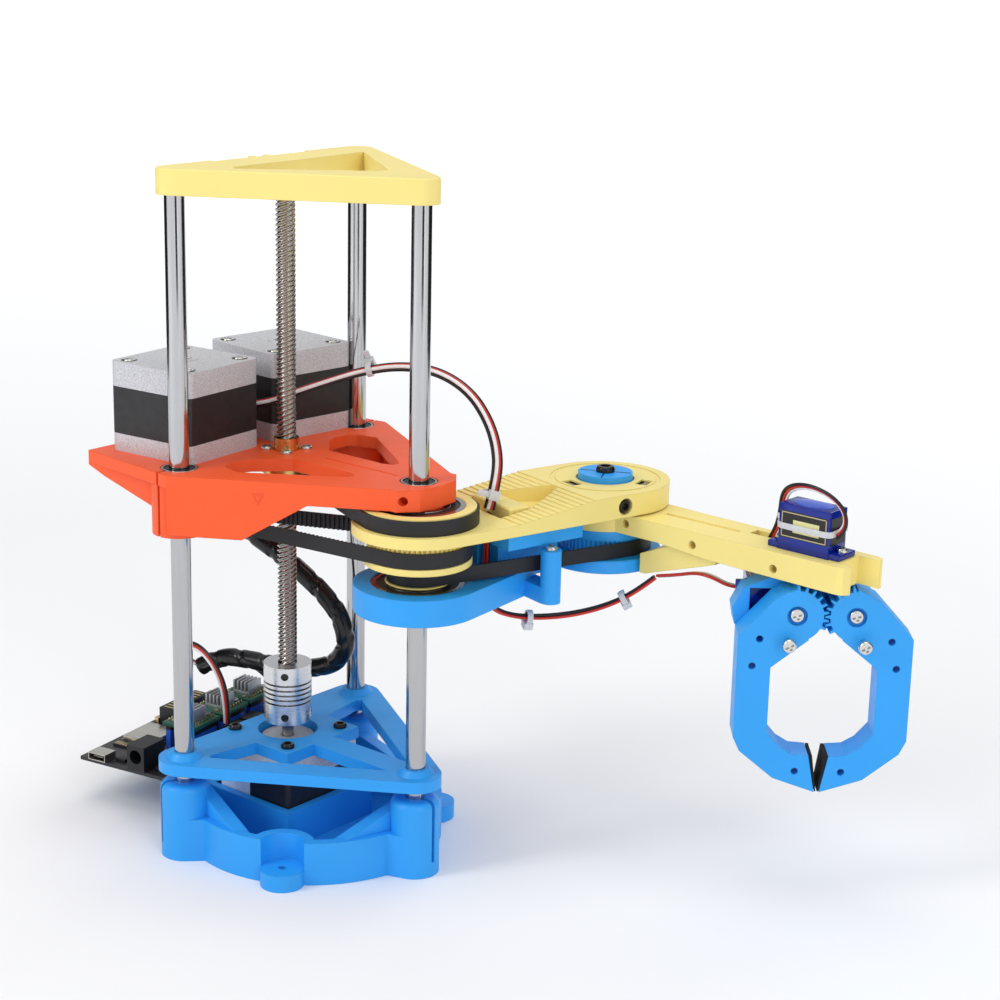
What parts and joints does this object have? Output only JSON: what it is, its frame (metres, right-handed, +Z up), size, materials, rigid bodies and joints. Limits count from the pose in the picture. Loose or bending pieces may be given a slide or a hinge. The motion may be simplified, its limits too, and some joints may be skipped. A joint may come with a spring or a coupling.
{
  "type": "scara robot arm",
  "caption": "Desktop SCARA arm: three-rod tower with a lead screw lift, belt-driven shoulder and elbow, servo wrist and a geared two-jaw gripper.",
  "frame": {"origin": "centre of the base's bolt circle, on its underside", "axes": "+Z up along the guide rods, +X from the lead screw towards the shoulder rod"},
  "size_m": [0.3303, 0.1778, 0.28],
  "materials": {
    "aluminium": "turned",
    "belt_rubber": "matt",
    "black_plastic": "moulded",
    "black_screw": "black oxide",
    "blue_print": "printed, fine layer lines",
    "board_dark": "solder mask",
    "board_green": "solder mask",
    "brass": "turned",
    "bright_screw": "nickel",
    "foam": "matt foam",
    "header_blue": "moulded",
    "motor_cap": "sand cast, speckled",
    "motor_core": "black laminations",
    "orange_print": "printed, fine layer lines",
    "polished_rod": "polished",
    "servo_case": "translucent dark blue",
    "shield_tin": "tin plated",
    "steel": "turned",
    "wire_rubber": "three wire lead",
    "wrap_black": "spiral wrap",
    "yellow_print": "printed, fine layer lines"
  },
  "bodies": {
    "base": {"base_frame": "blue_print", "motor_plate": "blue_print", "guide_rods": "polished_rod", "top_plate": "yellow_print", "frame_screws": "black_screw", "z_motor_caps": "motor_cap", "z_motor_core": "motor_core", "controller_board": "board_dark", "usb_socket": "shield_tin", "power_jack": "black_plastic", "radio_module": "shield_tin", "board_headers": "header_blue", "driver_boards": "board_green", "heat_sinks": "aluminium", "board_plugs": "black_plastic", "wire_harness": "wrap_black", "board_servo_lead": "wire_rubber", "board_motor_leads": "wire_rubber"},
    "lead_screw": {"lead_screw": "steel", "z_motor_shaft": "steel", "shaft_coupler": "aluminium", "coupler_screws": "black_screw"},
    "carriage": {"carriage_plate": "orange_print", "linear_bearings": "steel", "lead_nut": "brass", "carriage_screws": "black_screw", "arm_motor_caps": "motor_cap", "arm_motor_cores": "motor_core", "shoulder_column": "orange_print", "column_clip": "orange_print", "shoulder_belt": "belt_rubber", "drive_belt": "belt_rubber", "servo_lead_tower": "wire_rubber"},
    "shoulder_motor": {"shoulder_motor_pulley": "steel"},
    "drive_motor": {"drive_motor_pulley": "steel"},
    "upper_arm": {"upper_arm": "yellow_print", "lower_arm": "blue_print", "shoulder_bearings": "steel", "elbow_bearing": "steel", "forearm_belt": "belt_rubber", "arm_screws": "black_screw", "servo_lead_arm": "wire_rubber"},
    "transfer": {"transfer_pulley": "yellow_print"},
    "forearm": {"forearm_beam": "yellow_print", "elbow_pulley": "blue_print", "elbow_cap": "blue_print", "wrist_servo": "servo_case", "wrist_servo_screws": "bright_screw", "servo_lead_wrist": "wire_rubber", "servo_lead_loop": "wire_rubber"},
    "gripper": {"gripper_frame": "blue_print", "gripper_servo": "servo_case", "gripper_screws": "bright_screw"},
    "jaw_left": {"jaw_left": "blue_print", "jaw_pad_left": "foam", "jaw_screw_left": "bright_screw"},
    "jaw_right": {"jaw_right": "blue_print", "jaw_pad_right": "foam", "jaw_screw_right": "bright_screw"}
  },
  "joints": [
    {"name": "z_slide", "type": "slide", "parent": "base", "child": "carriage", "axis": [0, 0, 1], "range_m": [-0.04, 0.06], "deforming": ["wire_harness"]},
    {"name": "lead_screw_spin", "type": "hinge", "parent": "base", "child": "lead_screw", "pos_m": [-0.016, 0, 0.1], "axis": [0, 0, 1], "range_deg": [-1820, 2720]},
    {"name": "shoulder", "type": "hinge", "parent": "carriage", "child": "upper_arm", "pos_m": [0.056, 0, 0.148], "axis": [0, 0, 1], "range_deg": [-172, 22], "deforming": ["servo_lead_tower"]},
    {"name": "shoulder_motor_spin", "type": "hinge", "parent": "carriage", "child": "shoulder_motor", "pos_m": [-0.0463, 0.0269, 0.15], "axis": [0, 0, 1], "range_deg": [-775, 100]},
    {"name": "transfer_spin", "type": "hinge", "parent": "upper_arm", "child": "transfer", "pos_m": [0.056, 0, 0.13], "axis": [0, 0, -1], "range_deg": [-285, 65]},
    {"name": "elbow", "type": "hinge", "parent": "upper_arm", "child": "forearm", "pos_m": [0.07968, 0.08838, 0.13], "axis": [0, 0, -1], "range_deg": [-165, 35], "deforming": ["servo_lead_arm"]},
    {"name": "drive_motor_spin", "type": "hinge", "parent": "carriage", "child": "drive_motor", "pos_m": [-0.0463, -0.0269, 0.14], "axis": [0, 0, -1], "range_deg": [-1110, 240]},
    {"name": "wrist", "type": "hinge", "parent": "forearm", "child": "gripper", "pos_m": [0.18557, 0.08653, 0.13], "axis": [0, 0, 1], "range_deg": [-90, 90], "deforming": ["servo_lead_wrist"]},
    {"name": "jaw_left_swing", "type": "hinge", "parent": "gripper", "child": "jaw_left", "pos_m": [0.17853, 0.08084, 0.1185], "axis": [0.6293, -0.7771, 0], "range_deg": [-35, 0]},
    {"name": "jaw_right_swing", "type": "hinge", "parent": "gripper", "child": "jaw_right", "pos_m": [0.19617, 0.09512, 0.1185], "axis": [0.6293, -0.7771, 0], "range_deg": [0, 35]}
  ],
  "couplings": [
    {"joint": "lead_screw_spin", "follows": "z_slide", "rad_per_m": 785.4},
    {"joint": "shoulder_motor_spin", "follows": "shoulder", "ratio": 4.5},
    {"joint": "transfer_spin", "follows": "elbow", "ratio": 1.6667},
    {"joint": "drive_motor_spin", "follows": "elbow", "ratio": 6.6667},
    {"joint": "jaw_right_swing", "follows": "jaw_left_swing", "ratio": -1}
  ]
}
